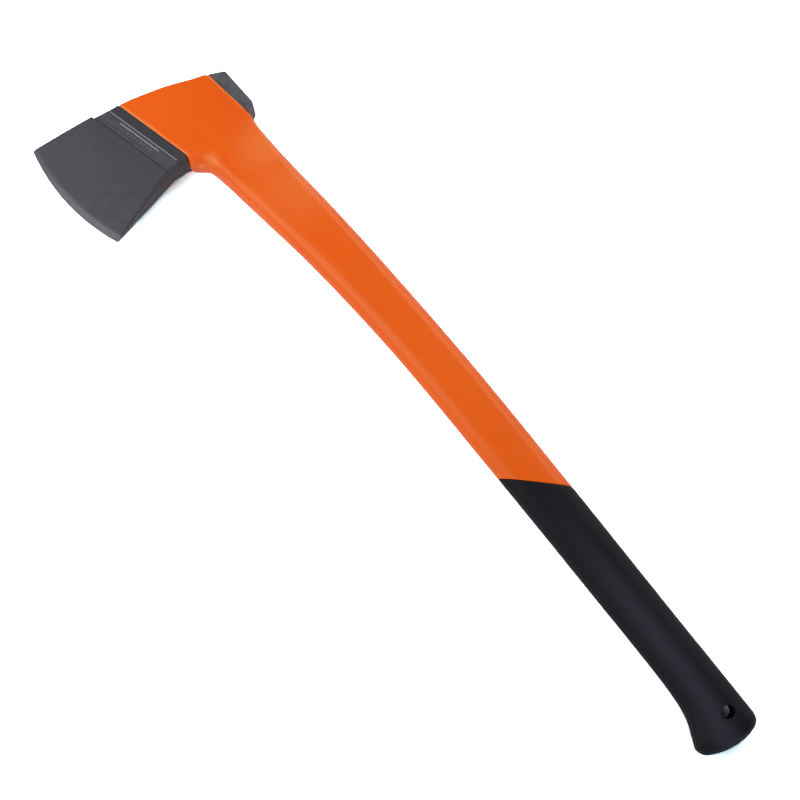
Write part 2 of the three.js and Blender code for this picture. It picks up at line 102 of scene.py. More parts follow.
# Plain bar and row of blocks raised on the neck: lengths from the toe side, and drops from the joint
marks = SimpleNamespace(
    bar_start=0.0152, bar_end=0.0535, bar_drop=0.0098, bar_width=0.0012,
    row_start=0.0252, row_end=0.0505, row_drop=0.0121, row_width=0.0021, count=8, filled_share=0.6,
    height=0.0006, sink=0.0004, edge_round=0.0001,
)
wrap = SimpleNamespace(thickness=0.0346, edge_round=0.0032, rim_round=0.0009, rim_run_share=1.5)
shell = SimpleNamespace(wall=0.0042, hollow_start=0.15, throat_round=0.0115, front_round=0.0135)
grip = SimpleNamespace(
    depth=0.0404,
    thickness=0.0276,
    skin=0.0026,
    end_skin=0.006,
    start=0.4535,
    slant=math.radians(46),
    rim_round=0.0007,
)
butt = SimpleNamespace(
    front_run=0.010, front_drop=0.0072, back_run=0.009, back_drop=0.006, face_round=0.004, bow=0.0037
)
hole = SimpleNamespace(bore=0.0105, liner_wall=0.002, from_end=0.023, behind_axis=0.0045, rim_round=0.0011)
parting_height = 0.0001  # line where the two halves of the mould met

corner_steps = 12
flank_steps = 26
blade_steps = 28
bevel_steps = 12
neck_steps = 76
round_corner_steps = 6
station_pitch = 0.001  # between two places along the handle whose section is worked out
row_length = 0.0025  # between two rows of faces along the handle
core_rows = 40
hollow_rows = 60
rim_steps = 6
flare_steps = 8
roll_steps = 14
round_steps = 96

# Faces that meet at a smaller angle than this are shaded as one surface.
smooth_angles = SimpleNamespace(moulded=math.radians(28), forged=math.radians(25), liner=math.radians(50))

# The hanging hole in the solids gives the place of everything else.
liner_low, liner_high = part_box("hang_hole_liner")
hole_place = (liner_low + liner_high) / 2
origin = np.array(
    [hole_place.x - (axe_length - hole.from_end), hole_place.y - hole.behind_axis, hole_place.z]
)


# Camera at the photograph's angle, above the axe as it lies
IMAGE_WIDTH = 800
FOCAL_PIXELS = 1700
view = SimpleNamespace(heading=math.radians(51.95), tilt=math.radians(8.366), distance=1.3228)
aim = Vector((-0.01297, 0.02383, hole_place.z))


def in_picture(right, up, height):
    """Place given by the picture's own right and up, and by the height above the aim."""
    turned = Matrix.Rotation(view.heading, 3, "Z") @ Vector((right, up, height))
    return aim + turned


def make_camera():
    data = bpy.data.cameras.new("camera")
    data.lens = data.sensor_width * FOCAL_PIXELS / IMAGE_WIDTH
    camera = bpy.data.objects.new("camera", data)
    bpy.context.scene.collection.objects.link(camera)
    turn = Matrix.Rotation(view.heading, 4, "Z") @ Matrix.Rotation(view.tilt, 4, "X")
    offset = in_picture(0, -view.distance * math.sin(view.tilt), view.distance * math.cos(view.tilt))
    camera.matrix_world = Matrix.Translation(offset) @ turn
    bpy.context.scene.camera = camera


# Material nodes
def new_material(name, constants=None):
    """Material, its nodes and its shader, with what stays the same all over it."""
    material = bpy.data.materials.new(name)
    material.use_nodes = True
    tree = material.node_tree
    shader = tree.nodes["Principled BSDF"]
    for key, value in (constants or {}).items():
        shader.inputs[key].default_value = value
    return material, tree, shader


def add_node(tree, kind, inputs=None, **settings):
    node = tree.nodes.new(kind)
    for key, value in settings.items():
        setattr(node, key, value)
    for key, value in (inputs or {}).items():
        if isinstance(value, bpy.types.NodeSocket):
            tree.links.new(value, node.inputs[key])
        else:
            node.inputs[key].default_value = value
    return node


def object_place(tree, stretch=(1, 1, 1), turn=0):
    place = add_node(tree, "ShaderNodeTexCoord").outputs["Object"]
    inputs = {"Vector": place, "Rotation": (0, 0, turn), "Scale": stretch}
    return add_node(tree, "ShaderNodeMapping", inputs).outputs["Vector"]


def noise(tree, place, scale, detail=3, roughness=0.5):
    inputs = {"Vector": place, "Scale": scale, "Detail": detail, "Roughness": roughness}
    return add_node(tree, "ShaderNodeTexNoise", inputs).outputs["Fac"]


def spread(tree, value, low, high, start=0.3, end=0.7):
    """Value between low and high, by where the given value lies between start and end."""
    inputs = {"Value": value, "From Min": start, "From Max": end, "To Min": low, "To Max": high}
    return add_node(tree, "ShaderNodeMapRange", inputs).outputs["Result"]


def mixed(tree, share, first, second, blend="MIX"):
    node = add_node(tree, "ShaderNodeMix", data_type="RGBA", blend_type=blend)
    for index, value in ((0, share), (6, first), (7, second)):
        if isinstance(value, bpy.types.NodeSocket):
            tree.links.new(value, node.inputs[index])
        else:
            node.inputs[index].default_value = value
    return node.outputs[2]


def summed(tree, first, second, weight=1.0):
    """First value plus a weight of the second."""
    inputs = {0: second, 1: weight, 2: first}
    return add_node(tree, "ShaderNodeMath", inputs, operation="MULTIPLY_ADD").outputs[0]


def dress(tree, shader, colour, roughness, relief, depth):
    bump = add_node(tree, "ShaderNodeBump", {"Height": relief, "Distance": depth})
    tree.links.new(colour, shader.inputs["Base Color"])
    tree.links.new(roughness, shader.inputs["Roughness"])
    tree.links.new(bump.outputs["Normal"], shader.inputs["Normal"])


def linear(red, green, blue):
    """Colour for a shader from its 0 to 255 values on screen."""
    channels = []
    for value in (red, green, blue):
        share = value / 255
        channels.append(share / 12.92 if share <= 0.04045 else ((share + 0.055) / 1.055) ** 2.4)
    return (*channels, 1)


def painted(tree, name):
    """Share that the mesh keeps at each of its points."""
    return add_node(tree, "ShaderNodeAttribute", attribute_name=name).outputs["Fac"]


def background_rays(tree, *kinds):
    """1 for rays that show the background: those of the camera, or mirrored or passed on to it."""
    path = add_node(tree, "ShaderNodeLightPath")
    shown = path.outputs[f"Is {kinds[0]} Ray"]
    for kind in kinds[1:]:
        inputs = {0: shown, 1: path.outputs[f"Is {kind} Ray"]}
        shown = add_node(tree, "ShaderNodeMath", inputs, operation="MAXIMUM").outputs[0]
    return shown


def forged_steel():
    """Forged steel under a thin dark coat, ground bare at the bevel, painted darker on the collar, and
    painted lighter on its ridge, raised marks and poll, partly as wear and partly as painted highlight.
    """
    material, tree, shader = new_material("forged_steel", {"Metallic": 0.1, "Specular IOR Level": 0.25})
    place = object_place(tree)
    patches = noise(tree, place, 28, 4, 0.55)
    grain = noise(tree, place, 900, 3, 0.6)
    scale = noise(tree, place, 170, 4, 0.6)
    streaks = noise(tree, object_place(tree, (1, 0.12, 1), math.radians(-15)), 260, 3, 0.6)
    strokes = noise(tree, object_place(tree, (1, 0.04, 1), math.radians(-8)), 1900, 3, 0.7)
    coat = mixed(tree, spread(tree, patches, 0, 1), linear(60, 60, 64), linear(66, 66, 71))
    coat = mixed(tree, spread(tree, grain, 0, 0.35), coat, linear(73, 73, 78))
    coat = mixed(tree, spread(tree, streaks, 0, 0.3, 0.56, 0.8), coat, linear(80, 80, 85))
    # Collar painted darker
    coat = mixed(tree, painted(tree, "collar_darkening"), coat, linear(52, 50, 51))
    bare = mixed(tree, spread(tree, strokes, 0, 1), linear(84, 84, 90), linear(102, 102, 108))
    # Ridge, raised marks and poll painted lighter, partly wear and partly painted highlight
    wear_and_highlight = spread(tree, summed(tree, painted(tree, "wear_and_highlight"), scale, 0.5), 0, 1, 0.5, 1.1)
    ground = spread(tree, summed(tree, painted(tree, "ground"), grain, 0.2), 0, 1, 0.1, 1.1)
    colour = mixed(tree, wear_and_highlight, coat, linear(128, 129, 135))
    colour = mixed(tree, ground, colour, bare)
    roughness = mixed(tree, ground, spread(tree, scale, 0.46, 0.58), spread(tree, strokes, 0.36, 0.46))
    forged = summed(tree, summed(tree, scale, grain, 0.35), streaks, 0.2)
    dress(tree, shader, colour, roughness, mixed(tree, ground, forged, strokes), 0.0002)
    return material


fine_grain_depth = 0.00005


def orange_plastic():
    """Glass-filled nylon with a fine moulded texture and faint flow marks, with painted highlights on the
    rims beside the steel and at a few places on the throat and upper shaft.
    """
    constants = {
        "Specular IOR Level": 0.44,
        "Specular Tint": (1, 0.82, 0.52, 1),
        "Subsurface Weight": 0.06,
        "Subsurface Radius": (0.0024, 0.0009, 0.0004),
    }
    material, tree, shader = new_material("orange_plastic", constants)
    place = object_place(tree)
    flow = noise(tree, object_place(tree, (0.35, 1, 1)), 22, 3, 0.5)
    grain = noise(tree, place, 2100, 2, 0.6)
    pebble = noise(tree, place, 780, 2, 0.5)
    colour = mixed(tree, spread(tree, flow, 0, 1), linear(237, 90, 8), linear(245, 99, 12))
    colour = mixed(tree, spread(tree, grain, 0, 0.25), colour, linear(250, 107, 21))
    # Painted highlights on the rims beside the steel and on the throat and upper shaft
    colour = mixed(tree, painted(tree, "painted_highlight"), colour, linear(255, 150, 84))
    relief = summed(tree, pebble, grain, 0.5)
    dress(tree, shader, colour, spread(tree, pebble, 0.38, 0.46), relief, fine_grain_depth)
    return material


def black_rubber():
    """Soft moulded grip with an eroded grain and a little dust, with a painted sheen: a paler band along
    each side and a paler end.
    """
    material, tree, shader = new_material("black_rubber", {"Specular IOR Level": 0.07})
    place = object_place(tree)
    cells = add_node(tree, "ShaderNodeTexVoronoi", {"Vector": place, "Scale": 1050}).outputs["Distance"]
    grain = noise(tree, place, 1600, 3, 0.6)
    patches = noise(tree, object_place(tree, (0.5, 1, 1)), 30, 4, 0.55)
    colour = mixed(tree, spread(tree, patches, 0, 1), linear(28, 27, 31), linear(32, 31, 35))
    colour = mixed(tree, spread(tree, grain, 0, 0.4), colour, linear(37, 36, 41))
    # Painted sheen: paler band along each side of the grip and paler end
    colour = mixed(tree, painted(tree, "painted_sheen"), colour, linear(52, 52, 61))
    relief = summed(tree, cells, grain, 0.5)
    dress(tree, shader, colour, spread(tree, patches, 0.42, 0.5), relief, fine_grain_depth)
    return material


def dark_plastic():
    """Plain dark moulding inside the handle."""
    material, tree, shader = new_material("dark_plastic", {"Specular IOR Level": 0.1})
    grain = noise(tree, object_place(tree), 1300, 3, 0.6)
    colour = mixed(tree, spread(tree, grain, 0, 1), linear(18, 19, 27), linear(26, 28, 38))
    dress(tree, shader, colour, spread(tree, grain, 0.5, 0.62), grain, fine_grain_depth)
    return material


# Meshes
def eased(value):
    """Smooth step from 0 to 1."""
    value = np.clip(value, 0, 1)
    return value * value * (3 - 2 * value)


def unit(direction):
    return direction / np.linalg.norm(direction)


def left_of(direction):
    """Flat direction turned a quarter anticlockwise."""
    return np.array([-direction[1], direction[0]])


def new_object(name, vertices, faces):
    mesh = bpy.data.meshes.new(name)
    mesh.from_pydata([tuple(point) for point in vertices], [], faces)
    made = bpy.data.objects.new(name, mesh)
    bpy.context.scene.collection.objects.link(made)
    return made


def new_piece(name, vertices, faces, material, smooth_angle=smooth_angles.moulded):
    piece = new_object(name, vertices, faces)
    piece.data.materials.append(material)
    finish_mesh(piece.data, smooth_angle)
    return piece


def finish_mesh(mesh, smooth_angle):
    build = bmesh.new()
    build.from_mesh(mesh)
    bmesh.ops.remove_doubles(build, verts=build.verts, dist=1e-6)
    bmesh.ops.recalc_face_normals(build, faces=build.faces)
    build.to_mesh(mesh)
    build.free()
    mesh.polygons.foreach_set("use_smooth", [True] * len(mesh.polygons))
    mesh.set_sharp_from_angle(angle=smooth_angle)


def section_profile(section, length):
    """Upper half of a section, front to back, as rows of distance along it and height."""
    shoulder = section.half - section.crown
    turns = np.linspace(0, math.pi / 2, corner_steps + 1)

    def corner(round_, share, power):
        rise = min(share * shoulder, shoulder)
        run, lift = np.cos(turns) ** (2 / power), np.sin(turns) ** (2 / power)
        return round_ * (1 - run), shoulder - rise * (1 - lift)

    front_run, front_rise = corner(section.front_round, section.front_share, section.front_power)
    back_run, back_rise = corner(section.back_round, section.back_share, 2)
    flank = np.linspace(section.front_round, length - section.back_round, flank_steps + 1)[1:-1]
    distance = np.concatenate([[0], front_run, flank, (length - back_run)[::-1], [length]])
    height = np.concatenate([[0], front_rise, np.full(len(flank), shoulder), back_rise[::-1], [0]])
    swell = 1 - (2 * distance / length - 1) ** 2
    height = np.where(height > 0, height + section.crown * swell, height)
    return distance, height, swell


def section_loop(section):
    """Closed loop of a section in space, up and over from front to back and back underneath."""
    along = section.back - section.front
    length = np.linalg.norm(along)
    along = along / length
    ahead = -left_of(along)
    distance, height, swell = section_profile(section, length)
    turned = np.clip(1 - distance / joint.hook_span, 0, None) ** 2
    shift = section.bow * swell - section.hook * turned
    flat = section.front + distance[:, None] * along + shift[:, None] * ahead
    upper = np.column_stack([flat, height])
    lower = upper[-2:0:-1] * [1, 1, -1]
    return np.concatenate([upper, lower])


def side_faces(rings, count, start=0):
    """Faces from each ring of points to the next."""
    faces = []
    for lower in range(start, start + (rings - 1) * count, count):
        upper = lower + count
        for i in range(count):
            after = (i + 1) % count
            faces.append((lower + i, lower + after, upper + after, upper + i))
    return faces


def skinned(loops):
    """Points and faces over a row of loops, closed at both ends by strips from upper to lower half."""
    count = len(loops[0])
    faces = side_faces(len(loops), count)
    for start in (0, (len(loops) - 1) * count):
        for i in range(count // 2):
            strip = [i, i + 1, (count - i - 1) % count, (count - i) % count]
            corners = list(dict.fromkeys(start + corner for corner in strip))
            faces.append(tuple(corners))
    return np.concatenate(loops), faces


def line_across(place, reach, length, tilt):
    """Straight line across the head, from its heel side to its toe side."""
    half = np.array([math.cos(tilt), math.sin(tilt)]) * length / 2
    middle = np.array([place, -reach])
    return middle + half, middle - half


def beside_joint(distance):
    """Line across the neck, at a distance from where the steel meets the plastic."""
    drop = distance * (1 + neck.lean_share * math.tan(joint.tilt)) / math.cos(joint.tilt)
    return line_across(joint.place - neck.lean_share * drop, joint.reach + drop, joint.length, joint.tilt)


# The steel head
edge_line = line_across(edge.length * math.cos(edge.tilt) / 2, edge.reach, edge.length, edge.tilt)
blade_top = line_across(blade.top_place_share * edge.length, blade.top_reach, blade.top_length, joint.tilt)

# Height of a side's rounding, as a share of the height of the section
rise_shares = SimpleNamespace(blade=0.2, groove=0.5, neck=0.8, collar=0.9)


def head_section(line, thickness, round_, **extra):
    values = dict(
        front=line[0],
        back=line[1],
        half=thickness / 2,
        front_round=round_,
        back_round=round_,
        front_share=rise_shares.blade,
        back_share=rise_shares.blade,
        front_power=2,
    )
    return SimpleNamespace(**{**values, **dict.fromkeys(("crown", "bow", "hook"), 0), **extra})


def blended_section(first, second, share):
    values = {key: (1 - share) * value + share * vars(second)[key] for key, value in vars(first).items()}
    return SimpleNamespace(**values)


def filled_in(sections, steps):
    filled = []
    for first, second in zip(sections, sections[1:]):
        filled += [blended_section(first, second, step / steps) for step in range(steps)]
    return filled + [sections[-1]]


def blade_sections():
    """Sections from the cutting edge to the notch below the neck."""
    def inward(start, end, distance):
        return start + unit(end - start) * distance

    bevel_line = (
        inward(edge_line[0], blade_top[0], bevel.heel_width),
        inward(edge_line[1], blade_top[1], bevel.toe_width),
    )
    thin = head_section(edge_line, edge.thickness, edge.thickness, bow=-edge.bow)
    control = 2 * blade.middle_thickness - (bevel.thickness + neck.thickness) / 2
    cheeks = []
    for step in range(blade_steps + 1):
        share = step / blade_steps
        front = bevel_line[0] + (blade_top[0] - bevel_line[0]) * share
        back = bevel_line[1] + (blade_top[1] - bevel_line[1]) * share
        front = front - np.array([blade.heel_hollow * (1 - (2 * share - 1) ** 2), 0])
        thickness = (1 - share) ** 2 * bevel.thickness + 2 * share * (1 - share) * control
        thickness += share**2 * neck.thickness
        round_ = min(blade.corner_round, thickness / 4)
        near_neck = eased((share - blade.heel_blend) / (1 - blade.heel_blend))
        heel_round = round_ + (neck.heel_round - round_) * near_neck
        heel_share = rise_shares.blade + (rise_shares.groove - rise_shares.blade) * near_neck
        bow = -edge.bow * (1 - share) ** 2
        cheek = head_section((front, back), thickness, round_, bow=bow)
        cheek.front_round, cheek.front_share = heel_round, heel_share
        cheeks.append(cheek)
    return filled_in([thin, cheeks[0]], bevel_steps) + cheeks[1:]


def bump(distance, middle, half_width):
    """Smooth swelling from 0 at both sides to 1 in the middle."""
    share = np.clip(np.abs(distance - middle) / half_width, 0, 1)
    return (1 + np.cos(math.pi * share)) / 2


def neck_height(distance):
    """Height of the neck and the collar above the mid-plane, at a distance from the joint."""
    foot = collar.width + neck.groove_width
    groove = collar.width + neck.width
    collar_foot = (collar.thickness - neck.groove_depth) / 2
    slope = np.interp(
        distance,
        [collar.width, foot, groove - neck.groove_width],
        [collar.thickness / 2, collar_foot, neck.thickness / 2],
    )
    raised = ridge.height * bump(distance, collar.width + ridge.width / 2, ridge.width / 2)
    return slope + raised - neck.groove_depth * bump(distance, groove, neck.groove_width)


def neck_sections():
    """Sections from the notch under the blade to the joint with the plastic."""
    first = collar.width + neck.width + neck.groove_width / 3
    knots = [collar.width, collar.width + neck.groove_width, first]
    sections = []
    for distance in np.linspace(first, 0, neck_steps + 1):
        half = neck_height(distance)
        toe_round = np.interp(distance, knots[:2], [collar.toe_round, neck.toe_round])
        round_ = np.interp(distance, knots[:2], [collar.heel_round, neck.heel_round])
        share = np.interp(distance, knots, [rise_shares.collar, rise_shares.neck, rise_shares.groove])
        hook = joint.hook * max(0, 1 - distance / collar.width)
        front, back = beside_joint(distance)
        outward = (back - front) / joint.length * neck.toe_reach
        back = back + outward * max(0, distance - collar.width) / neck.width
        section = head_section(
            (front, back), 2 * half, round_, front_share=share,
            back_round=toe_round, back_share=toe_round / half, hook=hook,
        )
        sections.append(section)
    return sections


def poll_outline():
    """Corners of the poll, anticlockwise from the head's end of its base."""
    base_butt, base_head = line_across(poll.base_place, 0, poll.base_length, poll.base_tilt)
    face_place = poll.base_place + poll.face_shift
    face_butt, face_head = line_across(face_place, -poll.height, poll.face_length, poll.face_tilt)
    return [base_head, base_butt, face_butt, face_head]


def inset_outline(outline, distance):
    """Convex outline, given anticlockwise, with every side moved in by a distance."""
    moved = []
    for i, corner in enumerate(outline):
        before, after = outline[i - 1], outline[(i + 1) % len(outline)]
        normal_in, normal_out = left_of(unit(corner - before)), left_of(unit(after - corner))
        moved.append(corner + (normal_in + normal_out) * distance / (1 + normal_in @ normal_out))
    return moved


def crossing(start, end, other_start, other_end):
    """Place where two lines meet."""
    run, other_run = end - start, other_end - other_start
    sides = np.column_stack([run, -other_run])
    return start + run * np.linalg.solve(sides, other_start - start)[0]


def rounded_corner(before, corner, after, radius):
    """Arc that rounds a corner of a convex outline, from the corners before and after it, anticlockwise."""
    back, on = unit(before - corner), unit(after - corner)
    half_angle = math.acos(back @ on) / 2
    centre = corner + unit(back + on) * radius / math.sin(half_angle)
    spoke = corner + back * radius / math.tan(half_angle) - centre
    arc = []
    for step in range(round_corner_steps + 1):
        angle = step / round_corner_steps * (math.pi - 2 * half_angle)
        turned = np.array([[math.cos(angle), -math.sin(angle)], [math.sin(angle), math.cos(angle)]]) @ spoke
        arc.append(centre + turned)
    return arc


def poll_ring(inset):
    """Outline of the poll with its face and its ends moved in, and its base on the same line."""
    base_head, base_butt, face_butt, face_head = poll_outline()
    longer = [2 * base_head - face_head, 2 * base_butt - face_butt, face_butt, face_head]
    head, butt, far_butt, far_head = inset_outline(longer, inset)
    round_ = poll.corner_round + poll.edge_round - inset
    return [
        crossing(base_head, base_butt, head, far_head),
        crossing(base_head, base_butt, butt, far_butt),
        *rounded_corner(butt, far_butt, far_head, round_),
        *rounded_corner(far_butt, far_head, head, round_),
    ]


def add_solid(vertices, faces, rings):
    """Adds the closed solid through a row of rings of points, to lists of vertices and faces."""
    start = len(vertices)
    count = len(rings[0])
    for ring in rings:
        vertices.extend(map(tuple, ring))
    faces += side_faces(len(rings), count, start)
    faces.append(tuple(range(start, start + count))[::-1])
    top = start + (len(rings) - 1) * count
    faces.append(tuple(range(top, top + count)))


def level_ring(outline, height):
    return [(*place, height) for place in outline]


def add_poll(vertices, faces):
    half = poll.thickness / 2
    upper = []
    for step in range(round_corner_steps + 1):
        turn = step / round_corner_steps * math.pi / 2
        inset = poll.edge_round * (1 - math.cos(turn))
        upper.append((poll_ring(inset), half - poll.edge_round * (1 - math.sin(turn))))
    rings = [level_ring(outline, -height) for outline, height in upper[::-1]]
    add_solid(vertices, faces, rings + [level_ring(*level) for level in upper])


def add_web(vertices, faces):
    """Plate inside the plastic that joins the collar to the poll."""
    front, back = beside_joint(collar.width / 2)
    direction = unit(front - back)
    base_head, base_butt = poll_outline()[:2]
    base = unit(base_butt - base_head)
    sink = left_of(base) * poll.height / 2
    outline = [
        back + direction * web.toe_inset,
        front - direction * web.heel_inset,
        base_butt - base * web.poll_inset + sink,
        base_head + base * web.poll_inset + sink,
    ]
    half = web.thickness / 2
    add_solid(vertices, faces, [level_ring(outline, -half), level_ring(outline, half)])


def add_mark(vertices, faces, along, drops):
    """Adds a bar raised on both slopes of the neck, from its lengths from the toe side and its drops."""
    for side in (-1, 1):
        rings = []
        for inset, lift in ((0, -marks.sink), (0, marks.height / 2), (marks.edge_round, marks.height)):
            corners = [(end, drop) for drop in (0, 1) for end in ((0, 1) if drop == 0 else (1, 0))]
            ring = []
            for end, drop in corners:
                run = along[end] + inset * (1 - 2 * end)
                distance = drops[drop] + inset * (1 - 2 * drop)
                front, back = beside_joint(distance)
                place = back + (front - back) * run / joint.length
                ring.append((*place, side * (neck_height(distance) + lift)))
            rings.append(ring)
        add_solid(vertices, faces, rings)


def add_marks(vertices, faces):
    bar = marks.bar_drop, marks.bar_drop + marks.bar_width
    add_mark(vertices, faces, (marks.bar_start, marks.bar_end), bar)
    pitch = (marks.row_end - marks.row_start) / marks.count
    row = marks.row_drop, marks.row_drop + marks.row_width
    for i in range(marks.count):
        start = marks.row_start + i * pitch
        add_mark(vertices, faces, (start, start + pitch * marks.filled_share), row)


def make_head(steel):
    loops = [section_loop(section) for section in blade_sections() + neck_sections()]
    vertices, faces = skinned(loops)
    vertices = list(map(tuple, vertices))
    add_poll(vertices, faces)
    add_web(vertices, faces)
    add_marks(vertices, faces)
    piece = new_piece("forged_head", np.array(vertices) + origin, faces, steel, smooth_angles.forged)
    paint_head(piece)
    return piece


def paint(piece, name, values):
    """Keeps a share at each point of a piece, for its material."""
    layer = piece.data.attributes.new(name, "FLOAT", "POINT")
    layer.data.foreach_set("value", np.clip(values, 0, 1).astype(np.float32))


collar_darkening_share = 0.35  # how much darker the collar is painted
# How much lighter the poll and the row of blocks are painted, partly wear and partly painted highlight
wear_and_highlight_shares = SimpleNamespace(poll=0.4, row=0.4)


def paint_head(piece):
    """Marks where the bevel is ground bare, where the ridge, raised marks and poll are painted lighter,
    partly as wear and partly as painted highlight, and where the collar is painted darker.
    """
    points = np.array([tuple(vertex.co) for vertex in piece.data.vertices]) - origin
    flat, height = points[:, :2], np.abs(points[:, 2])

    heel, toe = edge_line
    along = (heel - toe) / edge.length
    share = np.clip((flat - toe) @ along / edge.length, 0, 1)
    depth = (flat - toe) @ left_of(along) + edge.bow * (1 - (2 * share - 1) ** 2)
    width = bevel.toe_width + (bevel.heel_width - bevel.toe_width) * share
    near = 1 - eased((depth - width + bevel.blend) / (2 * bevel.blend))
    shine = bevel.toe_shine + (1 - bevel.toe_shine) * eased(share / bevel.full_shine_share)
    paint(piece, "ground", near * shine)

    front, back = beside_joint(0)
    across = (front - back) / joint.length
    distance = -(flat - back) @ left_of(across)
    on_neck = (distance > 0) & (distance < collar.width + neck.width)
    crest = bump(distance, collar.width + ridge.width / 2, ridge.width / 2)
    on_bar = distance < (marks.bar_drop + marks.bar_width + marks.row_drop) / 2
    raised = np.where(on_bar, 1, wear_and_highlight_shares.row) * (height > neck_height(distance) + marks.height / 4)
    top = height > neck_height(distance) - ridge.height / 4
    on_poll = flat[:, 1] > -poll.height / 2
    # Ridge crest, raised marks and poll painted lighter, partly wear and partly painted highlight
    paint(piece, "wear_and_highlight", on_neck * (crest * top + raised) + on_poll * wear_and_highlight_shares.poll)
    before_ridge = eased((collar.width + ridge.width / 2 - distance) / ridge.width)
    # Collar beside the plastic painted darker
    paint(piece, "collar_darkening", (distance > -clearance) * before_ridge * collar_darkening_share)


# Rows of the handle's outside, from the joint to the butt, as shares of the sizes that they follow. The
# front and back of a row in the wrap are shares of the edge's length and of the joint's reach.
wrap_row_shares = [  # front, back, hook
    ((0.901, -0.85), (0.185, -0.972), 0.55),
    ((0.939, -0.818), (0.219, -0.777), 0.15),
    ((0.977, -0.757), (0.272, -0.514), 0),
    ((1.025, -0.729), (0.347, -0.225), 0),
]
seat_row_shares = [  # front, place along the base of the poll, thickness, crown
    ((1.075, -0.712), 0, 1, 0),
    ((1.115, -0.701), 0.28, 1, 0),
    ((1.172, -0.685), 0.62, 0.993, 0),
    ((1.245, -0.67), 1, 0.95, 0.01),
]
seat_shares = SimpleNamespace(round=0.5, rise=0.5)  # of the rim beside the poll
throat = SimpleNamespace(
    front_shares=(1.33, -0.653),
    back_shares=(0.96, 0.046),
    thick_share=0.905,
    crown_share=0.016,
    round_share=1.25,
)
# The front and back here are shares of the axe's length and of half the grip's depth.
shaft_row_shares = [  # front, back, thickness, crown, front and back rounding
    ((0.2414, -1.853), (0.193, 0.285), 1.075, 0.03, (1, 0.75)),
    ((0.285, -1.635), (0.2543, 0.485), 1.01, 0.04, (1, 0.75)),
    ((0.345, -1.42), (0.33, 0.67), 0.975, 0.045, (1, 0.75)),
    ((0.431, -1.205), (0.4286, 0.84), 0.96, 0.05, (1, 0.75)),
    ((0.5029, -1.122), (0.5029, 0.932), 0.96, 0.055, (1, 0.75)),
    ((0.5757, -1.08), (0.5757, 0.971), 0.96, 0.06, (1, 0.75)),
    ((0.6471, -1.039), (0.6471, 0.985), 0.97, 0.07, (1, 0.8)),
    ((0.7186, -1.01), (0.7186, 0.999), 0.98, 0.09, (1.1, 0.9)),
    ((0.7871, -0.99), (0.7871, 1.001), 0.99, 0.12, (1.2, 1)),
    ((0.8571, -0.966), (0.8571, 1.005), 1, 0.14, (1.25, 1.1)),
    ((0.8971, -0.971), (0.8971, 1.015), 1.005, 0.14, (1.25, 1.1)),
    ((0.9286, -1.024), (0.9286, 1.02), 1.015, 0.13, (1.25, 1)),
    ((0.95, -1.166), (0.954, 1.024), 1.03, 0.12, (1.2, 0.95)),
    ((0.9657, -1.395), (0.971, 1.026), 1.04, 0.11, (1.15, 0.9)),
    ((0.9776, -1.576), (0.9843, 1.026), 1.045, 0.1, (1.1, 0.85)),
]
round_rise_share = 0.92
front_power = 2.2  # of the curve round the front, where 2 is an ellipse


def handle_rows():
    """Rows of numbers that set the handle's sections, and the rows where its back outline has a corner.

    A row holds the front and the back, then half the thickness, the crown, the front and the back
    rounding, the rise share of the back rounding, and the hook.
    """
    rows = []

    def add_row(front, back, *values):
        rows.append([*front, *back, *values])

    half = wrap.thickness / 2
    square_share = wrap.edge_round / half
    sizes = half, 0, shell.front_round, wrap.edge_round, square_share
    add_row(*beside_joint(-clearance), *sizes, joint.hook)
    size = np.array([edge.length, joint.reach])
    for front, back, hook in wrap_row_shares:
        add_row(size * front, size * back, *sizes, joint.hook * hook)
    base_head, base_butt = inset_outline(poll_outline(), -clearance)[:2]
    corners = [len(rows)]
    seat_round = wrap.edge_round * seat_shares.round
    for front, along, thick, crown in seat_row_shares:
        back = base_head + (base_butt - base_head) * along
        sizes = half * thick, wrap.thickness * crown, shell.front_round, seat_round
        add_row(size * front, back, *sizes, seat_round * seat_shares.rise / (half * thick), 0)
    corners.append(len(rows) - 1)
    sizes = half * throat.thick_share, wrap.thickness * throat.crown_share
    rounds = shell.front_round, wrap.edge_round * throat.round_share
    rise_share = (square_share + round_rise_share) / 2
    add_row(size * throat.front_shares, size * throat.back_shares, *sizes, *rounds, rise_share, 0)
    size = np.array([axe_length, grip.depth / 2])
    for front, back, thick, crown, rounds in shaft_row_shares:
        sizes = grip.thickness * thick / 2, grip.thickness * crown
        rounds = shell.front_round * rounds[0], shell.throat_round * rounds[1]
        add_row(size * front, size * back, *sizes, *rounds, round_rise_share, 0)
    return np.array(rows), corners


def blended_rows():
    """The rows at even steps along the handle, on smooth curves through the given ones."""
    rows, corners = handle_rows()
    middle = (rows[:, :2] + rows[:, 2:4]) / 2
    places = np.concatenate([[0], np.cumsum(np.linalg.norm(np.diff(middle, axis=0), axis=1))])
    steep = np.diff(rows, axis=0) / np.diff(places)[:, None]
    slope = np.vstack([steep[:1], (rows[2:] - rows[:-2]) / (places[2:] - places[:-2])[:, None], steep[-1:]])
    leaving, arriving = slope.copy(), slope.copy()
    for i in corners:
        leaving[i, 2:4] = steep[i, 2:4]
        arriving[i, 2:4] = steep[i - 1, 2:4]
    stations = np.arange(0, places[-1], station_pitch)
    stations = np.append(stations, places[-1])
    blended = []
    for station in stations:
        i = min(np.searchsorted(places, station, side="right") - 1, len(rows) - 2)
        span = places[i + 1] - places[i]
        t = (station - places[i]) / span
        arrived = 3 * t**2 - 2 * t**3
        bend = (t**3 - 2 * t**2 + t) * span * leaving[i] + (t**3 - t**2) * span * arriving[i + 1]
        blended.append(rows[i] * (1 - arrived) + rows[i + 1] * arrived + bend)
    return stations, np.array(blended)


stations, station_rows = blended_rows()
handle_end = stations[-1]


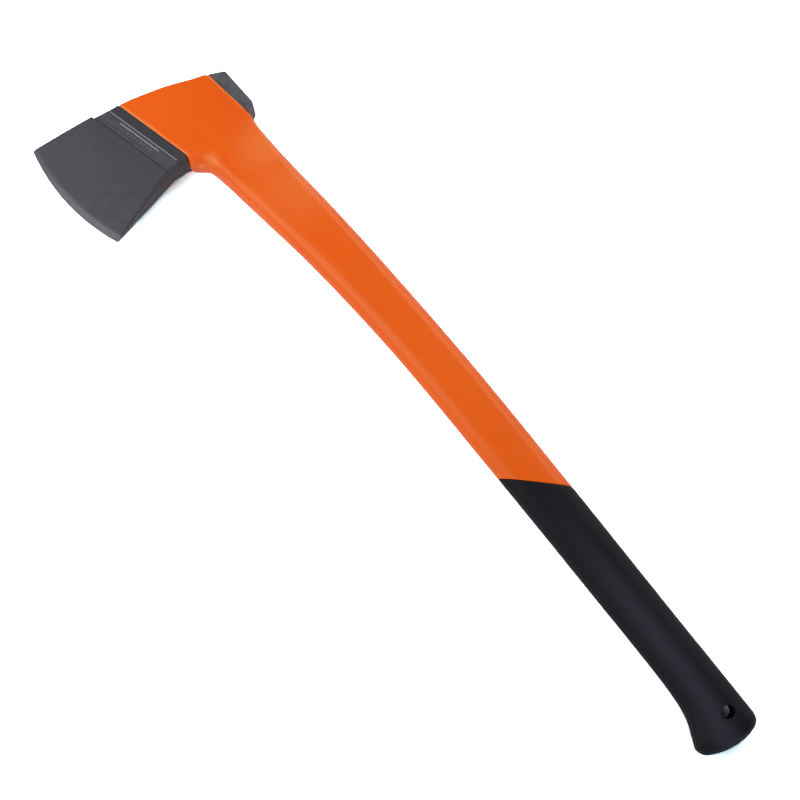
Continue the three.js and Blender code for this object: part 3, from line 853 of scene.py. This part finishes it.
def handle_section(row, inset):
    front, back = row[:2], row[2:4]
    half, crown, front_round, back_round, back_share, hook = row[4:]
    along = unit(back - front)
    return SimpleNamespace(
        front=front + along * inset,
        back=back - along * inset,
        half=min(half, wrap.thickness / 2) - inset,
        crown=max(crown, 0),
        front_round=max(front_round - inset / 2, inset / 2),
        back_round=max(back_round - inset / 2, inset / 2),
        front_share=round_rise_share,
        back_share=back_share,
        front_power=front_power,
        hook=hook,
        bow=0,
    )


def with_parting_line(loop):
    """Loop of the outside, with its two points on the mid-plane raised into a fine line."""
    half = len(loop) // 2
    along = unit(loop[half] - loop[0])
    raised = loop.copy()
    raised[0] = loop[0] - along * parting_height
    raised[half] = loop[half] + along * parting_height
    return raised


# Painted highlight along the rims beside the collar and the poll
rim_highlight = SimpleNamespace(share=0.7, depth_share=1.2, full_share=0.4)
# Painted highlights at single places on the throat and the back of the upper shaft: shares of the edge's
# length, the joint's reach and the wrap's thickness, reach, paleness
spot_highlights = [
    ((0.965, -0.65, 0.483), 0.0095, 0.36),
    ((0.94, -0.8, 0.24), 0.005, 0.7),
    ((1.13, -0.06, 0.44), 0.034, 0.34),
    ((1.5, -0.02, 0.4), 0.05, 0.22),
]
# Painted sheen on the grip: a paler band along each side and a paler end
painted_sheen = SimpleNamespace(middle_share=0.42, reach_share=0.34, full_share=0.6, end_share=0.9)
grids = {}  # loops at every station that are worked out already, by their inset


def handle_grid(inset):
    """Loops at every station, at a distance inside the outside of the handle."""
    if inset not in grids:
        loops = [section_loop(handle_section(row, inset + parting_height)) for row in station_rows]
        if inset == 0:
            loops = [with_parting_line(loop) for loop in loops]
        grids[inset] = np.array(loops)
    return grids[inset]


def loop_at(inset, at):
    """Loop of the handle with a station for each of its points."""
    grid = handle_grid(inset)
    at = np.clip(np.broadcast_to(at, grid.shape[1]), 0, handle_end)
    lower = np.clip(np.searchsorted(stations, at, side="right") - 1, 0, len(stations) - 2)
    share = ((at - stations[lower]) / (stations[lower + 1] - stations[lower]))[:, None]
    column = np.arange(grid.shape[1])
    return grid[lower, column] * (1 - share) + grid[lower + 1, column] * share


slant_facing = grip.slant - math.pi / 2
slant_normal = np.array([math.cos(slant_facing), math.sin(slant_facing)])


def slant_stations(offset):
    """Station at which each point of the outside crosses the slanted edge, moved along by an offset."""
    grid = handle_grid(0)
    beyond = (grid[:, :, :2] - [grip.start, 0]) @ slant_normal - offset
    return np.array([np.interp(0, beyond[:, i], stations) for i in range(grid.shape[1])])


slant_span = 0.09  # length over which the rows of faces turn from square to slanted


def past_slant(inset, starts, places):
    """Loops at places beyond the slanted edge, which turn from slanted to square."""
    middle = starts.mean()
    leans = 1 - eased((places - middle) / slant_span)
    return [loop_at(inset, place + (starts - middle) * lean) for place, lean in zip(places, leans)]


def roll_loops():
    """Loops round the end of the butt."""
    flat = handle_section(station_rows[-1], parting_height)
    loops = []
    for step in range(1, roll_steps + 1):
        turn = step / roll_steps * math.pi / 2
        run, drop = math.sin(turn), 1 - math.cos(turn)
        section = SimpleNamespace(**vars(flat))
        section.front = flat.front + [butt.front_run * run, butt.front_drop * drop]
        section.back = flat.back + [butt.back_run * run, -butt.back_drop * drop]
        section.half = flat.half - butt.face_round * drop
        section.crown = flat.crown * (1 - drop / 2)
        section.bow = butt.bow * run
        loops.append(section_loop(section))
    return loops


inset_digits = 7  # so that the two ends of a rim share the loops that are worked out


def rim(stations_at, radius, towards_butt, run_share=1):
    """Loops round a rim, from the face of the end to the outside, as insets and stations."""
    loops = []
    for step in range(rim_steps + 1):
        turn = step / rim_steps * math.pi / 2
        run = radius * run_share * (1 - math.cos(turn))
        at = stations_at + run if towards_butt else stations_at - run
        loops.append(loop_at(round(radius * (1 - math.sin(turn)), inset_digits), at))
    return loops


def make_shell(plastic):
    ends = slant_stations(0)
    middle = ends.mean()
    loops = rim(np.zeros(len(ends)), wrap.rim_round, True, wrap.rim_run_share)
    start = wrap.rim_round * wrap.rim_run_share
    for station in np.linspace(start, middle - grip.rim_round, int(middle / row_length))[1:]:
        lean = eased((station - (middle - slant_span)) / slant_span)
        loops.append(loop_at(0, station + (ends - middle) * lean))
    loops += rim(ends, grip.rim_round, False)[::-1]
    core_inset = grip.skin + clearance
    core_end = handle_end - grip.end_skin / 2
    loops += past_slant(core_inset, ends, np.linspace(middle, core_end, core_rows))
    for station in np.linspace(core_end, shell.hollow_start - wrap.edge_round, hollow_rows):
        loops.append(loop_at(core_inset + shell.wall, station))
    vertices, faces = skinned(loops)
    piece = new_piece("handle_moulding", vertices + origin, faces, plastic)
    paint_shell(piece)
    return piece


def paint_shell(piece):
    """Marks painted highlights as paler: along the rims beside the collar and the poll, and at a few places
    on the throat and the back of the upper shaft.
    """
    points = np.array([tuple(vertex.co) for vertex in piece.data.vertices]) - origin
    flat = points[:, :2]
    front, back = beside_joint(-clearance)
    across = (front - back) / joint.length
    beside_collar = (flat - back) @ left_of(across)
    base_head, base_butt = poll_outline()[:2]
    base = (base_butt - base_head) / poll.base_length
    along = (flat - base_head) @ base / poll.base_length
    below_poll = (base_head - flat) @ left_of(base)
    beside_poll = np.where((along > 0) & (along < 1), below_poll, wrap.edge_round)
    near = np.minimum(np.abs(beside_collar), np.abs(beside_poll))
    height = np.abs(points[:, 2])
    facing = height > wrap.thickness / 2 - rim_highlight.depth_share * wrap.rim_round
    shade = eased(near / (wrap.rim_round * wrap.rim_run_share) - rim_highlight.full_share)
    # Painted highlight along the rims beside the collar and the poll
    values = facing * rim_highlight.share * (1 - shade)
    size = np.array([edge.length, joint.reach, wrap.thickness])
    # Painted highlights on the throat and the back of the upper shaft
    for place, reach, share in spot_highlights:
        distance = np.linalg.norm(np.column_stack([flat, height]) - size * place, axis=1)
        values = np.maximum(values, share * (1 - eased(distance / reach)))
    paint(piece, "painted_highlight", values)


def paint_grip(piece, loops):
    """Marks a painted sheen as paler: a band along each side of the grip, and its end."""
    grid = np.array(loops)[:, :, :2]
    half = grid.shape[1] // 2
    front, back = grid[:, :1], grid[:, half : half + 1]
    across = back - front
    share = ((grid - front) * across).sum(2) / (across**2).sum(2)
    # Painted sheen along the middle of each side, growing towards the butt, and over the end
    near = eased(1 - np.abs(share - painted_sheen.middle_share) / painted_sheen.reach_share)
    along = (grid[:, :, 0] - grip.start) / (axe_length - grip.start)
    band = near * eased(along / painted_sheen.full_share)
    band[-roll_steps // 2 :] = painted_sheen.end_share
    paint(piece, "painted_sheen", band.ravel())


def make_grip(rubber):
    starts = slant_stations(clearance)
    middle = starts.mean()
    inner_end = handle_end - grip.end_skin / 2
    loops = past_slant(grip.skin, starts, np.linspace(inner_end, middle, core_rows))
    loops += rim(starts, grip.rim_round, True)
    count = int((handle_end - middle) / row_length)
    loops += past_slant(0, starts, np.linspace(middle + grip.rim_round, handle_end, count)[1:])
    loops += roll_loops()
    vertices, faces = skinned(loops)
    piece = new_piece("grip_skin", vertices + origin, faces, rubber)
    paint_grip(piece, loops)
    drill(piece, hole.bore / 2, flared=True)
    return piece


def turned_solid(profile):
    """Closed solid of revolution about the hanging hole's axis, from radii and heights."""
    vertices = []
    for radius, height in profile:
        for step in range(round_steps):
            angle = 2 * math.pi * step / round_steps
            side = Vector((math.cos(angle), math.sin(angle), 0)) * radius
            vertices.append(tuple(hole_place + side + Vector((0, 0, height))))
    return vertices, side_faces(len(profile), round_steps)


def drill(piece, radius, flared):
    """Cuts the hanging hole through a piece, with a rounded rim on both sides where it is flared."""
    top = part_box("grip_sleeve")[1].z - hole_place.z
    profile = [(radius, 0)]
    if flared:
        for step in range(flare_steps + 1):
            turn = step / flare_steps * math.pi / 2
            out = hole.rim_round * (1 - math.cos(turn))
            profile.append((radius + out, hole_surface - hole.rim_round * (1 - math.sin(turn))))
    profile.append((profile[-1][0], top + hole.rim_round * 2))
    mirrored = [(size, -height) for size, height in profile[:0:-1]]
    vertices, faces = turned_solid(mirrored + profile)
    last = len(vertices) - round_steps
    faces.append(tuple(range(round_steps))[::-1])
    faces.append(tuple(range(last, last + round_steps)))
    cutter = new_object("cutter", vertices, faces)
    cut = piece.modifiers.new("cut", "BOOLEAN")
    cut.operation = "DIFFERENCE"
    cut.solver = "EXACT"
    cut.object = cutter
    bpy.context.view_layer.update()
    done = piece.evaluated_get(bpy.context.evaluated_depsgraph_get())
    result = bpy.data.meshes.new_from_object(done)
    piece.modifiers.remove(cut)
    piece.data = result
    bpy.data.objects.remove(cutter)
    finish_mesh(result, smooth_angles.moulded)


def surface_height(place):
    """Height of the outside above the mid-plane at a place on the flank."""
    grid = handle_grid(0).reshape(-1, 3)
    grid = grid[grid[:, 2] > 0]
    near = np.argmin(np.linalg.norm(grid[:, :2] - place, axis=1))
    return grid[near, 2]


hole_surface = surface_height(np.array([axe_length - hole.from_end, hole.behind_axis]))


def make_liner(plastic):
    inner, outer = hole.bore / 2, hole.bore / 2 + hole.liner_wall
    half = (liner_high.z - liner_low.z) / 2
    round_ = hole.liner_wall / 8
    profile = [
        (inner + round_, -half),
        (outer - round_, -half),
        (outer, round_ - half),
        (outer, half - round_),
        (outer - round_, half),
        (inner + round_, half),
        (inner, half - round_),
        (inner, round_ - half),
        (inner + round_, -half),
    ]
    vertices, faces = turned_solid(profile)
    return new_piece("liner_tube", vertices, faces, plastic, smooth_angles.liner)


# The floor and the lights
floor_rise = SimpleNamespace(start=-0.24, end=0.33, gap=0.0001)
floor_look = SimpleNamespace(
    reach=1.1,  # from the middle of the axe
    plain=(0.9, 0.9, 0.9, 1),
    mirrored=(1.05, 1.05, 1.05, 1),
    near=(3, 3.6, 3.8, 1),  # as the background, brighter than white so that only a deep shade shows
    far=(12, 12, 12, 1),
    far_shares=(0.4, 0.9),  # of the reach
    in_hole=(1.3, 1.4, 2.2, 1),
    hole_shares=(0.9, 1.1),  # of the bore
)


def floor_height(along):
    """Height of the floor, which leans a little so that the axe lies on its head and its butt."""
    grip_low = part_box("grip_sleeve")[0].z - floor_rise.gap
    share = (along - floor_rise.start) / (floor_rise.end - floor_rise.start)
    return share * grip_low - (1 - share) * floor_rise.gap


def make_floor():
    """White floor that keeps its shadow, with a higher reflectance where it is the open background.

    The shade at the bottom of the hanging hole keeps about its own tone, and the far floor, where
    less light falls, is white as well.
    """
    look = floor_look
    sides = [(-look.reach, -1), (look.reach, -1), (look.reach, 1), (-look.reach, 1)]
    corners = [(along, side * look.reach, floor_height(along)) for along, side in sides]
    floor = new_object("floor", corners, [(0, 1, 2, 3)])
    material, tree, shader = new_material("floor")
    tree.nodes.remove(shader)
    colour = mixed(tree, background_rays(tree, "Glossy", "Transmission"), look.plain, look.mirrored)
    place = add_node(tree, "ShaderNodeTexCoord").outputs["Object"]
    spot = (hole_place.x, hole_place.y, floor_height(hole_place.x))

    def beyond(centre, size, shares):
        away = add_node(tree, "ShaderNodeVectorMath", {0: place, 1: centre}, operation="DISTANCE")
        return spread(tree, away.outputs["Value"], 0, 1, *(share * size for share in shares))

    shown = mixed(tree, beyond(spot, hole.bore, look.hole_shares), look.in_hole, look.near)
    shown = mixed(tree, beyond((0, 0, 0), look.reach, look.far_shares), shown, look.far)
    colour = mixed(tree, background_rays(tree, "Camera"), colour, shown)
    matte = add_node(tree, "ShaderNodeBsdfDiffuse", {"Color": colour})
    tree.links.new(matte.outputs[0], tree.nodes["Material Output"].inputs["Surface"])
    floor.data.materials.append(material)


def add_lamp(name, place, size, energy, colour):
    data = bpy.data.lights.new(name, "AREA")
    data.shape = "DISK"
    data.size = size
    data.energy = energy
    data.color = colour
    lamp = bpy.data.objects.new(name, data)
    bpy.context.scene.collection.objects.link(lamp)
    lamp.location = in_picture(*place)
    lamp.rotation_euler = (aim - lamp.location).to_track_quat("-Z", "Y").to_euler()


lamps = [  # name, place in the picture and height, size, energy, colour
    ("key", (-0.74, -0.12, 0.68), 0.85, 7.5, (1, 1, 1)),
    ("fill", (0.75, 1.05, 0.75), 1.4, 12, (1, 1, 1)),
    ("sky", (0.6, 0.75, 1.25), 0.8, 2.2, (1, 1, 1)),
    ("low", (1, -1.2, 0.4), 0.7, 3.6, (0.9, 0.95, 1)),
]
# Strength of the light tent by the height of the direction, from the horizon at 0 to straight up at 1
tent_strengths = [(0, 0.3), (0.35, 0.14), (0.9, 0.1), (1, 0.1)]
backdrop_strengths = [(0, 1), (0.3, 1), (0.6, 0.14), (1, 0.1)]  # as mirrored, with a white backdrop
tent_tint = (0.96, 0.98, 1)


def strengths_by_height(tree, strengths):
    direction = add_node(tree, "ShaderNodeTexCoord").outputs["Generated"]
    up = add_node(tree, "ShaderNodeSeparateXYZ", {"Vector": direction}).outputs["Z"]
    ramp = add_node(tree, "ShaderNodeValToRGB", {"Fac": up})
    stops = ramp.color_ramp.elements
    for place, strength in strengths[1:-1]:
        stops.new(place)
    for stop, (place, strength) in zip(stops, strengths):
        stop.position = place
        stop.color = (*(channel * strength for channel in tent_tint), 1)
    return ramp.outputs["Color"]


def make_lights():
    """Dim light tent over a white backdrop, and soft lamps."""
    world = bpy.data.worlds.new("world")
    bpy.context.scene.world = world
    world.use_nodes = True
    tree = world.node_tree
    tent = strengths_by_height(tree, tent_strengths)
    backdrop = strengths_by_height(tree, backdrop_strengths)
    colour = mixed(tree, background_rays(tree, "Glossy", "Transmission"), tent, backdrop)
    colour = mixed(tree, background_rays(tree, "Camera"), colour, (1, 1, 1, 1))
    tree.links.new(colour, tree.nodes["Background"].inputs["Color"])
    for lamp in lamps:
        add_lamp(*lamp)


bpy.context.scene.view_settings.view_transform = "Standard"
make_camera()
make_floor()
make_lights()

head = make_head(forged_steel())
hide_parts("axe_head")

moulding = make_shell(orange_plastic())
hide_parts("handle_shell")

skin = make_grip(black_rubber())
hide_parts("grip_sleeve")

inner_plastic = dark_plastic()
liner = make_liner(inner_plastic)
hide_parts("hang_hole_liner")
drill(moulding, hole.bore / 2 + hole.liner_wall + clearance, flared=False)

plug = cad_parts["butt_plug"]
plug.data.materials.clear()
plug.data.materials.append(inner_plastic)

for piece in (head, moulding, skin, liner):
    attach(piece, "root")
